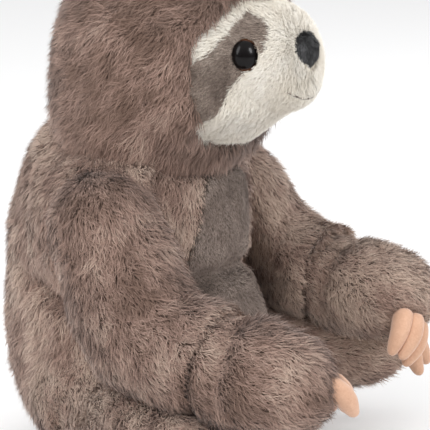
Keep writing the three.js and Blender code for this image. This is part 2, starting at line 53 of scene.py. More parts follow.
def settled(piece):
    """The piece with its modifiers' result kept as its mesh."""
    depsgraph = bpy.context.evaluated_depsgraph_get()
    made = bpy.data.meshes.new_from_object(piece.evaluated_get(depsgraph))
    old = piece.data
    piece.modifiers.clear()
    piece.data = made
    bpy.data.meshes.remove(old)
    made.name = piece.name
    return piece


def linked(name, data):
    """A new object in the scene that holds a mesh, a lamp or a lens."""
    piece = bpy.data.objects.new(name, data)
    bpy.context.scene.collection.objects.link(piece)
    return piece


def joined(name, meshes, stitch=0.0):
    """One piece from several meshes. Corners nearer to each other than a stitch become one."""
    cloth = bmesh.new()
    for mesh in meshes:
        cloth.from_mesh(mesh)
    if stitch:
        bmesh.ops.remove_doubles(cloth, verts=cloth.verts, dist=stitch)
    mesh = bpy.data.meshes.new(name)
    cloth.to_mesh(mesh)
    cloth.free()
    return linked(name, mesh)


def sewn_copy(name, nodes):
    """One piece from the frame's solids, with the loose corners of each joined."""
    return joined(name, [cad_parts[node].data for node in nodes], stitch=1e-5)


def layer(elements, name, width=3):
    """What a mesh says of each of its elements, as one row of numbers each."""
    values = np.empty(len(elements) * width)
    elements.foreach_get(name, values)
    return values.reshape(-1, width) if width > 1 else values


def places(piece):
    return layer(piece.data.vertices, "co")


def facings(piece):
    return layer(piece.data.vertices, "normal")


def put_places(piece, spots):
    piece.data.vertices.foreach_set("co", np.asarray(spots, np.float32).ravel())
    piece.data.update()


def rewoven(piece, weave, rounds):
    """The piece remade in even squares of cloth, then eased in rounds until it is soft."""
    squares = piece.modifiers.new("squares", "REMESH")
    squares.mode = "VOXEL"
    squares.voxel_size = weave
    squares.use_smooth_shade = True
    eased = piece.modifiers.new("eased", "SMOOTH")
    eased.factor = 0.5
    eased.iterations = rounds
    return settled(piece)


def stuffed(name, nodes, weave, rounds):
    """A rounded skin round the frame's solids."""
    return rewoven(sewn_copy(name, nodes), weave, rounds)


def trimmed(piece, gone):
    """Cuts the cloth away at the corners that are marked as gone."""
    cloth = bmesh.new()
    cloth.from_mesh(piece.data)
    cloth.verts.ensure_lookup_table()
    bmesh.ops.delete(cloth, geom=[v for v in cloth.verts if gone[v.index]], context="VERTS")
    cloth.to_mesh(piece.data)
    cloth.free()


def lengths(ways):
    """How long each row of a table of ways is."""
    return np.linalg.norm(ways, axis=1)


def hump(distance, width):
    """1 at no distance, falling softly away to 0 at about twice the width."""
    return np.exp(-(distance / width) ** 2)


def ramped(value, start, run):
    """0 up to the start, then rising to 1 over the run. A negative run rises downwards."""
    return np.clip((value - start) / run, 0, 1)


def lumps(spots, size, seed):
    """Soft unevenness of loose fibre under the cloth, mostly from -1 to 1."""
    dice = np.random.default_rng(seed)
    total = np.zeros(len(spots))
    for _ in range(7):
        way = dice.normal(size=3)
        way *= 2 * math.pi / (size * dice.uniform(0.7, 1.5)) / np.linalg.norm(way)
        total += np.sin(spots @ way + dice.uniform(0, 2 * math.pi))
    return total / 4


class Wire:
    """A node's output that can be added, taken away, multiplied and divided in plain sums."""

    def __init__(self, tree, socket, vector=False):
        self.tree, self.socket, self.vector = tree, socket, vector

    def sum(self, operation, first, second):
        vector = any(isinstance(x, Wire) and x.vector for x in (first, second))
        kind = "ShaderNodeVectorMath" if vector else "ShaderNodeMath"
        node = self.tree.nodes.new(kind)
        node.operation = operation
        for place, value in enumerate((first, second)):
            if isinstance(value, Wire):
                self.tree.links.new(value.socket, node.inputs[place])
            elif vector:
                node.inputs[place].default_value = (value,) * 3
            else:
                node.inputs[place].default_value = value
        return Wire(self.tree, node.outputs[0], vector)

    def __add__(self, other):
        return self.sum("ADD", self, other)

    def __radd__(self, other):
        return self.sum("ADD", other, self)

    def __sub__(self, other):
        return self.sum("SUBTRACT", self, other)

    def __rsub__(self, other):
        return self.sum("SUBTRACT", other, self)

    def __mul__(self, other):
        return self.sum("MULTIPLY", self, other)

    def __rmul__(self, other):
        return self.sum("MULTIPLY", other, self)

    def __truediv__(self, other):
        return self.sum("DIVIDE", self, other)

    def __rtruediv__(self, other):
        return self.sum("DIVIDE", other, self)


class Bench:
    """Adds nodes to one tree: a type, its settings, and the values or links of its sockets."""

    def __init__(self, tree):
        self.tree = tree

    def add(self, kind, settings=None, sockets=None, out=0, vector=False):
        node = self.tree.nodes.new(kind)
        for name, value in (settings or {}).items():
            if name == "stops":
                self.set_stops(node.color_ramp.elements, value)
            else:
                setattr(node, name, value)
        for name, value in (sockets or {}).items():
            socket = node.inputs[name]
            if isinstance(value, Wire):
                self.tree.links.new(value.socket, socket)
            elif socket.type == "RGBA":
                socket.default_value = (*value, 1)
            else:
                socket.default_value = value
        return Wire(self.tree, node.outputs[out], vector) if node.outputs else None

    def set_stops(self, band, stops):
        band.remove(band[1])
        for place, colour in stops:
            element = band[0] if place == stops[0][0] else band.new(place)
            element.position = place
            element.color = (*colour, 1)

    def ramp(self, factor, stops):
        return self.add("ShaderNodeValToRGB", {"stops": stops}, {0: factor})

    def mixed(self, factor, first, second):
        return self.add("ShaderNodeMix", {"data_type": "RGBA"}, {
            0: factor, 6: first, 7: second}, out=2)

    def parted(self, vector):
        """The three parts of a vector, each as a number."""
        across = self.add("ShaderNodeSeparateXYZ", sockets={0: vector})
        return [Wire(self.tree, socket) for socket in across.socket.node.outputs]


def finish(name, plain):
    """A new material with its bench, and the one surface shader with its plain values set."""
    material = bpy.data.materials.new(name)
    material.use_nodes = True
    surface = material.node_tree.nodes["Principled BSDF"]
    for socket, value in plain.items():
        surface.inputs[socket].default_value = value
    return material, Bench(material.node_tree), surface


def feed(bench, wire, surface, socket):
    bench.tree.links.new(wire.socket, surface.inputs[socket])


def bumped(bench, surface, height, strength, distance):
    feed(bench, bench.add("ShaderNodeBump", sockets={
        "Strength": strength, "Distance": distance, "Height": height}), surface, "Normal")


def dressed(piece, material):
    piece.data.materials.clear()
    piece.data.materials.append(material)


def backing_cloth(name, dark, light):
    """The knitted backing that the pile stands on: dull and a little uneven."""
    material, bench, surface = finish(name, {"Roughness": 0.95, "Specular IOR Level": 0.15})
    place = bench.add("ShaderNodeTexCoord", out="Object")
    cloud = bench.add("ShaderNodeTexNoise", sockets={"Vector": place, "Scale": 420.0})
    feed(bench, bench.mixed(cloud, dark, light), surface, "Base Color")
    knit = bench.add("ShaderNodeTexNoise", sockets={"Vector": place, "Scale": 1600.0})
    bumped(bench, surface, knit, 0.5, 0.0006)
    return material


# Its dark brown is partly the cloth's own colour and partly painted shade, for the shade deep in
# the pile.
brown_backing = backing_cloth("brown_backing", (0.09, 0.06, 0.048), (0.15, 0.105, 0.085))

torso_nodes = ["torso_shell", "belly_panel", "torso_stuffing"]
head_nodes = ["head_hood", "face_mask", "head_stuffing", "eye_patch_left", "eye_patch_right"]
torso_skin = stuffed("torso_skin", torso_nodes, weave=0.0028, rounds=14)
head_skin = stuffed("head_skin", head_nodes, weave=0.0024, rounds=10)
arm_skins, hand_skins, leg_skins = {}, {}, {}
for side in ("left", "right"):
    arm_skins[side] = stuffed(f"arm_skin_{side}", [f"arm_{side}", f"arm_stuffing_{side}"],
                              weave=0.0026, rounds=10)
    hand_skins[side] = stuffed(f"hand_skin_{side}", [f"hand_{side}", f"hand_stuffing_{side}"],
                               weave=0.0024, rounds=8)
    leg_skins[side] = stuffed(f"leg_skin_{side}", [
        f"leg_{side}", f"sole_{side}", f"leg_stuffing_{side}"], weave=0.0026, rounds=8)

fold_height, fold_width, fold_slant, fold_lift = 0.103, 0.006, 0.0004, 0.011
fold_at_sides, fold_in_front, fold_all_round = 0.0085, 0.0075, 0.0006
sides_at, sides_spread, front_spread = 94, 24, 45


def waist_fold(spots):
    """How deep the body creases: behind the arms and across the belly, by degrees from the back."""
    from_back = np.abs(np.degrees(np.arctan2(spots[:, 0] - seat_middle.x,
                                             spots[:, 1] - seat_middle.y)))
    front, sides = hump(180 - from_back, front_spread), hump(from_back - sides_at, sides_spread)
    height = fold_height + fold_slant * (90 - from_back) * (from_back < 130) + fold_lift * front
    line = hump(spots[:, 2] - height, fold_width)
    return line * (fold_at_sides * sides + fold_in_front * front + fold_all_round)


low_belly_swell, low_belly_height, low_belly_width, low_belly_rise = 0.012, 0.077, 0.055, 0.028


def low_belly(spots):
    """The soft swell of the belly between the legs."""
    across = (spots[:, 0] - seat_middle.x) / low_belly_width
    up = (spots[:, 2] - low_belly_height) / low_belly_rise
    return low_belly_swell * np.exp(-across ** 2 - up ** 2) * (spots[:, 1] < seat_middle.y)


belly = [(0, 1), (0.36, 0.93), (0.6, 0.7), (0.76, 0.3), (0.93, -0.05), (1, -0.5), (0.9, -0.85),
         (0.5, -0.97), (0, -1)]
belly_half_width, belly_half_height, belly_middle = 0.038, 0.062, 0.114


def belly_depth(spots):
    """How far inside the velour panel's outline each spot lies, as shares of its width."""
    full = belly + [(-a, b) for a, b in reversed(belly) if a > 0]
    across = (spots[:, 0] - seat_middle.x) / belly_half_width
    up = (spots[:, 2] - belly_middle) / belly_half_height
    depth = inside(full, across, up)
    return np.where(spots[:, 1] < seat_middle.y, depth, -1.0)


def inside(outline, across, up):
    """How far inside a closed outline each point lies; outside it is below 0."""
    ring = np.array(outline, float)
    after = np.roll(ring, -1, 0)
    spots = np.stack([across, up], 1)
    crossings = np.zeros(len(spots), bool)
    nearest = np.full(len(spots), 9.0)
    for (ax, ay), (bx, by) in zip(ring, after):
        between = (ay > spots[:, 1]) != (by > spots[:, 1])
        rise = (by - ay) or 1e-9
        crossings ^= between & (spots[:, 0] < (bx - ax) * (spots[:, 1] - ay) / rise + ax)
        line = np.array((bx - ax, by - ay))
        share = np.clip((spots - (ax, ay)) @ line / (line @ line), 0, 1)
        gap = lengths(spots - (ax, ay) - share[:, None] * line)
        nearest = np.minimum(nearest, gap)
    return np.where(crossings, nearest, -nearest)


fade, torso_lumps, panel_sink = 0.02, 0.0011, 0.0022
spots, out = places(torso_skin), facings(torso_skin)
off_seat = ramped(spots[:, 2], 0.004, fade)
swell = low_belly(spots) - waist_fold(spots) - torso_lumps * lumps(spots, 0.05, 3) * off_seat
swell -= panel_sink * ramped(belly_depth(spots), 0, 0.06)
put_places(torso_skin, spots + out * swell[:, None])

leg_paths = {
    "left": [from_axis(0.040, 0.022, 0.036), from_axis(0.080, 0.074, 0.046),
             from_axis(0.116, 0.132, 0.054)],
    "right": [from_axis(-0.040, 0.022, 0.036), from_axis(-0.080, 0.070, 0.036),
              from_axis(-0.116, 0.124, 0.036)],
}
thigh_swell, thigh_width = 0.006, 0.035
for side in ("left", "right"):
    spots, out = places(leg_skins[side]), facings(leg_skins[side])
    thigh = leg_paths[side][0].lerp(leg_paths[side][1], 0.8)
    near = lengths((spots - np.array(thigh))[:, :2])
    swell = thigh_swell * hump(near, thigh_width) * np.clip(out[:, 2] * 1.5, 0, 1)
    put_places(leg_skins[side], spots + out * swell[:, None])

arm_paths = {
    "left": [from_axis(0.068, 0.034, 0.146), from_axis(0.080, 0.055, 0.110),
             from_axis(0.080, 0.106, 0.095), from_axis(0.075, 0.163, 0.089)],
    "right": [from_axis(-0.068, 0.034, 0.146), from_axis(-0.081, 0.073, 0.092),
              from_axis(-0.082, 0.124, 0.082), from_axis(-0.079, 0.181, 0.077)],
}
flatter, shorter = {"left": 0.0055, "right": 0.001}, {"left": 0.0015, "right": 0.004}
wrist_crease, crease_width, arm_lumps = 0.0042, 0.0075, 0.0009
elbow_bulge, elbow_width, elbow_shift = 0.010, 0.024, (0, 0.024, -0.004)
flat_run, short_run = 0.03, 0.05
for side in ("left", "right"):
    elbow, wrist, tip = (np.array(spot) for spot in arm_paths[side][1:])
    forward = (tip - wrist) / np.linalg.norm(tip - wrist)
    for skin, seed in ((arm_skins[side], 6), (hand_skins[side], 8)):
        spots, out = places(skin), facings(skin)
        past = (spots - wrist) @ forward
        crease = hump(past, crease_width) * np.clip(out[:, 2] + 0.9, 0, 1)
        swell = arm_lumps * lumps(spots, 0.04, seed) - wrist_crease * crease
        spots = spots + out * swell[:, None]
        off_elbow = lengths(spots - elbow - elbow_shift)
        spots[:, 1] += elbow_bulge * hump(off_elbow, elbow_width)
        past_elbow = ramped(spots[:, 1], elbow[1], -flat_run)
        spots[:, 2] -= flatter[side] * np.clip(out[:, 2], 0, 1) * past_elbow
        spots -= shorter[side] * ramped(past, 0, short_run)[:, None] * forward
        put_places(skin, spots)


def tree_of(piece):
    return BVHTree.FromObject(piece, bpy.context.evaluated_depsgraph_get())


def filled_beside(skin, limb, reach, rise, way, lowest, ahead=0.05):
    """Stuffs the skin out beside a limb, on the side that the way names, not under the limb."""
    limb_tree = tree_of(limb)
    spots, out = places(skin), facings(skin)
    swell = np.zeros(len(spots))
    for place, (spot, face) in enumerate(zip(spots, out)):
        touch, limb_face, _, gap = limb_tree.find_nearest(Vector(spot), reach)
        if touch is None or limb_tree.ray_cast(Vector(spot), Vector(face), ahead)[0] is not None:
            continue
        share = min(max(limb_face.dot(Vector(way)) * 2.5, 0), 1)
        swell[place] = rise * share * (1 - gap / reach) ** 1.3
    swell *= ramped(spots[:, 2], lowest, fade)
    put_places(skin, spots + out * swell[:, None])


def drawn_together(first, second, rounds, lowest, weave=0.0035, reach=0.030, most=0.014,
                   sunk=0.004, edge=0.008):
    """Fills the furrow between two skins, so that one soft form runs over both of them."""
    both = rewoven(joined("both_skins", [first.data, second.data]), weave, rounds)
    form, trees = tree_of(both), {first: tree_of(first), second: tree_of(second)}
    for skin, other in ((first, second), (second, first)):
        spots, out = places(skin), facings(skin)
        swell = np.zeros(len(spots))
        for place, (spot, face) in enumerate(zip(spots, out)):
            touch, other_face, _, gap = trees[other].find_nearest(Vector(spot), reach)
            if touch is None or (Vector(spot) - touch).dot(other_face) < -sunk:
                continue
            hit, form_face, _, rise = form.ray_cast(Vector(spot), Vector(face), most)
            if hit is not None and form_face.dot(Vector(face)) > 0.3:
                swell[place] = rise * min((reach - gap) / edge, 1)
        swell *= ramped(spots[:, 2], lowest, fade)
        put_places(skin, spots + out * swell[:, None])
    bpy.data.objects.remove(both)


from_the_ground = -fade
for side in ("left", "right"):
    filled_beside(torso_skin, arm_skins[side], reach=0.032, rise=0.017, way=(0, 0.75, 0.66),
                  lowest=0.106)
    filled_beside(torso_skin, leg_skins[side], reach=0.024, rise=0.010, way=(0, 0.8, 0.6),
                  lowest=from_the_ground)
    drawn_together(torso_skin, arm_skins[side], rounds=60, lowest=0.108)
    drawn_together(torso_skin, leg_skins[side], rounds=30, lowest=from_the_ground)


def drawn_in(skin, limb, depth, highest, reach=0.014):
    """Sinks the skin along a limb that lies on it, below a height."""
    limb_tree = tree_of(limb)
    spots, out = places(skin), facings(skin)
    sink = np.zeros(len(spots))
    for place, spot in enumerate(spots):
        touch, _, _, gap = limb_tree.find_nearest(Vector(spot), reach)
        if touch is not None:
            sink[place] = depth * (1 - gap / reach)
    sink *= ramped(spots[:, 2], highest, -fade)
    put_places(skin, spots - out * sink[:, None])


arms_lie_below = 0.118
for side in ("left", "right"):
    drawn_in(torso_skin, arm_skins[side], depth=0.011, highest=arms_lie_below)

brown_skins = [torso_skin, head_skin, *arm_skins.values(), *hand_skins.values(),
               *leg_skins.values()]
for skin in brown_skins:
    dressed(skin, brown_backing)


# The long plush pile. Each tuft of hairs is cut from one sheet of pile fabric: dark at the root,
# pinkish beige at the tip, combed along the limb and clumped by handling. The dark roots are
# partly painted shade, for the shade deep in the pile.
def hair_blade():
    """One hair lock: a thin kite that leans over, from a narrow root to a fine tip."""
    mesh = bpy.data.meshes.new("hair_lock")
    corners = [(0, 0, 0), (0.5, 0.02, 0.4), (-0.5, 0.02, 0.4), (0, -0.3, 0.94)]
    mesh.from_pydata(corners, [], [(0, 2, 1), (1, 2, 3)])
    for name, values in (("along", (0.0, 0.45, 0.45, 1.0)), ("edge", (0.0, 1.0, -1.0, 0.0))):
        mesh.attributes.new(name, "FLOAT", "POINT").data.foreach_set("value", values)
    return linked("hair_lock", mesh)


def pile_tree():
    """Hair locks over a skin, by its comb, cover and pile_length attributes."""
    tree = bpy.data.node_groups.new("plush_pile", "GeometryNodeTree")
    sockets = (("Geometry", "NodeSocketGeometry", None), ("Locks", "NodeSocketFloat", 2.6e6),
               ("Length", "NodeSocketFloat", 0.0078), ("Width", "NodeSocketFloat", 0.00042),
               ("Rise", "NodeSocketFloat", 0.8), ("Lean", "NodeSocketFloat", 0.8),
               ("Clump", "NodeSocketFloat", 45.0), ("Clump size", "NodeSocketFloat", 0.006),
               ("Wave", "NodeSocketFloat", 1.5), ("Stray", "NodeSocketFloat", 0.38),
               ("Shade", "NodeSocketFloat", 0.0), ("Lock", "NodeSocketObject", None),
               ("Finish", "NodeSocketMaterial", None), ("Seed", "NodeSocketInt", 1))
    for name, kind, value in sockets:
        item = tree.interface.new_socket(name, in_out="INPUT", socket_type=kind)
        if value is not None:
            item.default_value = value
    tree.interface.new_socket("Geometry", in_out="OUTPUT", socket_type="NodeSocketGeometry")
    bench = Bench(tree)
    entry = bench.add("NodeGroupInput").socket.node
    given = {name: Wire(tree, entry.outputs[name]) for name, _, _ in sockets}

    def named(name, kind, vector=False):
        return bench.add("GeometryNodeInputNamedAttribute", {"data_type": kind}, {"Name": name},
                         vector=vector)

    def chance(low, high, seed):
        return bench.add("FunctionNodeRandomValue", {"data_type": "FLOAT"}, {
            2: low, 3: high, "Seed": given["Seed"] + seed}, out=1)

    def scaled(vector, size):
        return bench.add("ShaderNodeVectorMath", {"operation": "SCALE"}, {
            0: vector, "Scale": size}, vector=True)

    roots = bench.add("GeometryNodeDistributePointsOnFaces", {}, {
        "Mesh": given["Geometry"], "Density": given["Locks"] * named("cover", "FLOAT"),
        "Seed": given["Seed"]}, out="Points")
    outward = Wire(tree, roots.socket.node.outputs["Normal"], True)
    here = bench.add("GeometryNodeInputPosition", vector=True)
    comb = named("comb", "FLOAT_VECTOR", True)
    cell = bench.add("ShaderNodeTexVoronoi", {"voronoi_dimensions": "3D"}, {
        "Vector": here, "Scale": 1.0 / given["Clump size"]}, out="Position", vector=True)
    wave = bench.add("ShaderNodeTexNoise", {}, {"Vector": here, "Scale": 75.0, "Detail": 1.0},
                     out="Color", vector=True) - 0.5
    stray = bench.add("FunctionNodeRandomValue", {"data_type": "FLOAT_VECTOR"}, {
        "Min": (-1, -1, -1), "Max": (1, 1, 1), "Seed": given["Seed"]}, vector=True)

    growth = (scaled(outward, given["Rise"]) + scaled(comb, given["Lean"])
              + scaled(cell - here, given["Clump"]) + scaled(wave, given["Wave"])
              + scaled(stray, given["Stray"]))
    upright = bench.add("FunctionNodeAlignRotationToVector", {"axis": "Z"}, {"Vector": growth})
    faced = bench.add("FunctionNodeAlignRotationToVector", {"axis": "Y", "pivot_axis": "Z"}, {
        "Rotation": upright, "Vector": outward})
    twist = bench.add("FunctionNodeAxisAngleToRotation", {}, {
        "Axis": (0, 0, 1), "Angle": chance(-0.6, 0.6, 3)})
    turned = bench.add("FunctionNodeRotateRotation", {"rotation_space": "LOCAL"}, {
        "Rotation": faced, "Rotate By": twist})
    long = given["Length"] * chance(0.62, 1.12, 4) * named("pile_length", "FLOAT")
    wide = given["Width"] * chance(0.6, 1.25, 5)
    size = bench.add("ShaderNodeCombineXYZ", {}, {"X": wide, "Y": long, "Z": long}, vector=True)
    cloud = bench.add("ShaderNodeTexNoise", {}, {"Vector": here, "Scale": 46.0, "Detail": 2.0})
    fleck = bench.add("ShaderNodeTexNoise", {}, {"Vector": here, "Scale": 190.0, "Detail": 1.0})
    tone = chance(0.0, 1.0, 6) * 0.4 + cloud * 1.7 + fleck * 0.6 - 0.84 + given["Shade"]
    stored = roots
    for name, kind, value in (("tone", "FLOAT", tone), ("skin_out", "FLOAT_VECTOR", outward)):
        stored = bench.add("GeometryNodeStoreNamedAttribute", {
            "data_type": kind, "domain": "POINT"}, {
            "Geometry": stored, "Name": name, "Value": value})
    lock = bench.add("GeometryNodeObjectInfo", {}, {"Object": given["Lock"]}, out="Geometry")
    grown = bench.add("GeometryNodeInstanceOnPoints", {}, {
        "Points": stored, "Instance": lock, "Rotation": turned, "Scale": size})
    real = bench.add("GeometryNodeRealizeInstances", {}, {"Geometry": grown})
    dyed = bench.add("GeometryNodeSetMaterial", {}, {
        "Geometry": real, "Material": given["Finish"]})
    bench.add("NodeGroupOutput", {}, {"Geometry": dyed})
    return tree


hair_lock, plush_pile = hair_blade(), pile_tree()


def flag(piece, name, values, kind="FLOAT"):
    """Writes a value for every corner of the piece, over an older one of that name."""
    marks = piece.data.attributes
    mark = marks.get(name) or marks.new(name, kind, "POINT")
    mark.data.foreach_set("vector" if kind == "FLOAT_VECTOR" else "value",
                          np.asarray(values, np.float32).ravel())


floor_gap, bare_gap, full_gap = 0.0003, 0.0004, 0.006


def grow_pile(name, skin, body, slot, dye, seed, **sizes):
    """The pile of one skin as a plain mesh, lit as the cloth it stands on is."""
    pile = linked(name, skin.data.copy())
    grown = pile.modifiers.new("pile", "NODES")
    grown.node_group = plush_pile
    values = {"Lock": hair_lock, "Finish": dye, "Seed": seed, **sizes}
    for item in plush_pile.interface.items_tree:
        if item.in_out == "INPUT" and item.name in values:
            grown[item.identifier] = values[item.name]
    mesh = settled(pile).data
    spots = places(pile)
    spots[:, 2] = np.maximum(spots[:, 2], floor_gap)
    put_places(pile, spots)
    soft = 0.72 * layer(mesh.attributes["skin_out"].data, "vector") + 0.28 * facings(pile)
    soft /= lengths(soft)[:, None]
    mesh.materials.pop(index=0)
    tone, along, edge = (layer(mesh.attributes[name].data, "value", 1)
                         for name in ("tone", "along", "edge"))
    corner = np.empty(len(mesh.loops), np.int32)
    mesh.loops.foreach_get("vertex_index", corner)
    chart = np.stack([np.clip(tone, 0.03, 0.97) + 0.02 * edge, 0.02 + 0.96 * along], 1)[corner]
    sheet = mesh.uv_layers.new(name="OFBake")
    sheet.data.foreach_set("uv", chart.astype(np.float32).ravel())
    for old in ("comb", "cover", "pile_length", "skin_out", "tone", "along", "edge"):
        if old in mesh.attributes:
            mesh.attributes.remove(mesh.attributes[old])
    mesh.shade_smooth()
    mesh.normals_split_custom_set_from_vertices(soft.tolist())
    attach(pile, body)
    return pile


def dyed_pile(name, root, low, middle, high, roughness=0.8, sheen=0.25, specular=0.2):
    """Hair dyed root to tip, each lock a little lighter or darker than its neighbour. The dark
    root is partly painted shade, for the shade deep in the pile.
    """
    material, bench, surface = finish(name, {
        "Roughness": roughness, "Specular IOR Level": specular, "Sheen Weight": sheen,
        "Sheen Roughness": 0.6})
    tone, along, _ = bench.parted(bench.add("ShaderNodeUVMap", {"uv_map": "OFBake"}))
    tip = bench.ramp(tone, [(0.03, low), (0.5, middle), (0.97, high)])
    rise = bench.ramp(along, [(0.0, (0, 0, 0)), (0.3, (0.35,) * 3), (0.85, (1, 1, 1))])
    feed(bench, bench.mixed(rise, root, tip), surface, "Base Color")
    return material


brown_dye = dyed_pile("brown_plush_pile", (0.12, 0.070, 0.051), (0.19, 0.116, 0.085),
                      (0.42, 0.276, 0.220), (0.66, 0.505, 0.405))


def grow_coat(name, skin, body, seed, shade=0.0, sheets=1):
    """Long brown pile in two coats: a dense short one, and longer hairs with paler tips.
    The shade makes all of one body's pile lighter or darker, as painted light and shade.
    """
    for coat, locks, sizes in (
            ("under", 1.2e6, {"Length": 0.0062, "Width": 0.0005, "Shade": shade - 0.14}),
            ("top", 1.4e6, {"Length": 0.0086, "Width": 0.0004, "Shade": shade + 0.05})):
        for sheet in range(sheets):
            grow_pile(f"{name}_{coat}_{sheet + 1}", skin, body, "brown_plush", brown_dye,
                      seed + 1000 * sheet, Locks=locks / sheets, **sizes)
        seed += 100


skin_trees = {skin: tree_of(skin) for skin in brown_skins}


def near_others(skin, spots, reach=0.012, neck_reach=0.05, neck_depth=0.010):
    """How far each spot is from the other bodies' skins, up to the reach; 0 inside the neck."""
    clear = np.full(len(spots), reach)
    for other, tree in skin_trees.items():
        if other is skin:
            continue
        neck = {skin, other} == {torso_skin, head_skin}
        for place, spot in enumerate(spots):
            touch, face, _, gap = tree.find_nearest(Vector(spot), neck_reach if neck else reach)
            if touch is None:
                continue
            buried = neck and (Vector(spot) - touch).dot(face) < -neck_depth
            clear[place] = min(clear[place], 0 if buried else gap)
    return clear


def laid_flat(ways, out):
    """What is left of each way once it is laid along the cloth."""
    return ways - out * np.sum(ways * out, axis=1)[:, None]


def comb_skin(skin, way, cover):
    """Writes how the pile lies on a skin, where it grows, and how long it is."""
    spots, out = places(skin), facings(skin)
    spots[:, 2] = np.maximum(spots[:, 2], floor_gap)
    put_places(skin, spots)
    flat = laid_flat(way(spots), out)
    length = lengths(flat)[:, None]
    clear = near_others(skin, spots)
    flag(skin, "comb", flat / np.maximum(length, 0.15), "FLOAT_VECTOR")
    flag(skin, "cover", cover(spots) * (clear > bare_gap))
    shortest = 0.85 - 0.45 * ramped(spots[:, 2], arms_lie_below, -fade)
    flag(skin, "pile_length", np.clip(clear / full_gap, shortest, 1.0))


def lengthened(skin, share):
    length = layer(skin.data.attributes["pile_length"].data, "value", 1)
    flag(skin, "pile_length", length * share)


def along_path(path, blend=0.012, root_width=0.035):
    """The way along a limb at each spot, from its shoulder or hip to its paw."""
    path = np.array(path)

    def way(spots):
        total = np.zeros_like(spots)
        for start, end in zip(path[:-1], path[1:]):
            line = end - start
            share = np.clip((spots - start) @ line / (line @ line), 0, 1)
            gap = lengths(spots - start - share[:, None] * line)
            total += np.exp(-gap / blend)[:, None] * line / np.linalg.norm(line)
        root = hump(lengths(spots - path[0]), root_width)
        fall = np.stack([0 * root, 0 * root, -0.35 - 1.2 * root], 1)
        return total / lengths(total)[:, None] + fall
    return way


def everywhere(spots):
    return np.ones(len(spots))


# Head. The hood is one piece of long brown plush that goes round a flat cream face, sewn to it
# along the opening's edge. Its pile falls back and down from there.
head_middle = np.array(from_axis(0, 0.0385, 0.231))
head_round = 0.0685
face_front = head_middle[1] - 0.002
throat_depth, throat_top, throat_run = 0.009, 0.214, 0.024
jowl_swell, jowl_height, jowl_width = 0.0052, 0.209, 0.014
throat_from, throat_forward = 0.012, 0.035


def chin_tuck(spots):
    """How far back the cloth lies below the muzzle, where the throat is drawn in."""
    low = ramped(spots[:, 2], throat_top, -throat_run)
    front = ramped(spots[:, 1], head_middle[1] - throat_from, -throat_forward)
    jowl = hump(spots[:, 2] - jowl_height, jowl_width)
    return (throat_depth * low * low * (3 - 2 * low) - jowl_swell * jowl) * front


opening = [(0, 0.52), (0.13, 0.565), (0.34, 0.565), (0.5, 0.48), (0.64, 0.37), (0.76, 0.28),
           (0.8, 0.1), (0.81, -0.12), (0.78, -0.28), (0.68, -0.43), (0.52, -0.55),
           (0.28, -0.63), (0, -0.65)]
patch = [(0.27, 0.45), (0.30, 0.35), (0.37, 0.24), (0.43, 0.12), (0.47, 0.01), (0.56, -0.11),
         (0.62, -0.23), (0.68, -0.44), (0.80, -0.36), (0.87, -0.12), (0.86, 0.03), (0.71, 0.14),
         (0.58, 0.26), (0.42, 0.38), (0.3, 0.45)]


def face_depth(spots):
    """How far inside the hood's opening each spot lies, as shares of the head's radius."""
    full = opening + [(-a, b) for a, b in reversed(opening) if a > 0]
    seen = (spots - head_middle) / head_round
    depth = inside(full, seen[:, 0], seen[:, 2])
    return np.where(spots[:, 1] < face_front, depth, -1.0)


def patch_depth(spots):
    seen = (spots - head_middle) / head_round
    return inside(patch, np.abs(seen[:, 0]), seen[:, 2])


def hood_way(spots):
    seen = (spots - head_middle) / head_round
    return np.stack([0.25 * seen[:, 0], 0.55 + 0 * seen[:, 0], -0.9 + 0 * seen[:, 0]], 1)


lip_swell, lip_low, lip_run, face_sink, hood_lumps = 0.0035, 0.186, 0.03, 0.0028, 0.0009
nape_swell, nape_height, nape_width = 0.006, 0.196, 0.02
nape_drop, drop_from, drop_run = 0.013, 0.230, 0.04
spots, out = places(head_skin), facings(head_skin)
seam = face_depth(spots)
lip = hump(seam + 0.075, 0.06) * (spots[:, 1] < face_front)
lip *= ramped(spots[:, 2], lip_low, lip_run)
to_back = spots[:, 1] - head_middle[1]
nape = hump(spots[:, 2] - nape_height, nape_width) * ramped(to_back, -0.02, 0.05)
swell = lip_swell * lip + nape_swell * nape + hood_lumps * lumps(spots, 0.04, 5)
swell -= face_sink * ramped(seam, 0.01, 0.05)
low = ramped(spots[:, 2], drop_from, -drop_run)
spots[:, 2] -= nape_drop * low * ramped(to_back, -0.03, 0.04)
spots[:, 1] += chin_tuck(spots)
put_places(head_skin, spots + out * swell[:, None])
comb_skin(head_skin, hood_way, lambda spots: (face_depth(spots) < 0.0).astype(float))
lengthened(head_skin, 1 + 0.35 * ramped(places(head_skin)[:, 2], 0.222, -fade))
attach(head_skin, "head")
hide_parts("head_hood", "head_stuffing")
# The hood's pile is made darker, as painted shade.
grow_coat("hood_pile", head_skin, "head", 11, shade=-0.31)

# Face. A mask of short cream pile with a brown patch sewn in round each eye. The pile is clipped
# to about 4 mm and lies out from the nose.
nose_spot = np.array(from_axis(0, 0.1195, 0.2405))
seam_sink, mask_lift = 0.0018, 0.0004
muzzle_swell, muzzle_radius, muzzle_width = 0.003, 0.024, 0.010
nose_half_width, nose_half_height, nose_depth = 0.0125, 0.0098, 0.02
taper_from, taper_run = 0.002, 0.012
face_skin = stuffed("face_skin", head_nodes, weave=0.0016, rounds=34)
spots, out = places(face_skin), facings(face_skin)
swell = mask_lift - seam_sink * hump(face_depth(spots), 0.05)
off_nose = lengths(spots - nose_spot)
swell += muzzle_swell * hump(off_nose - muzzle_radius, muzzle_width)
spots[:, 1] += chin_tuck(spots)
put_places(face_skin, spots + out * swell[:, None])
trimmed(face_skin, face_depth(spots) < -0.03)
dressed(face_skin, backing_cloth("cream_backing", (0.55, 0.49, 0.40), (0.66, 0.60, 0.51)))


def look(side_degrees, up_degrees):
    side, up = math.radians(side_degrees), math.radians(up_degrees)
    return Vector((math.cos(up) * math.sin(side), -math.cos(up) * math.cos(side), math.sin(up)))


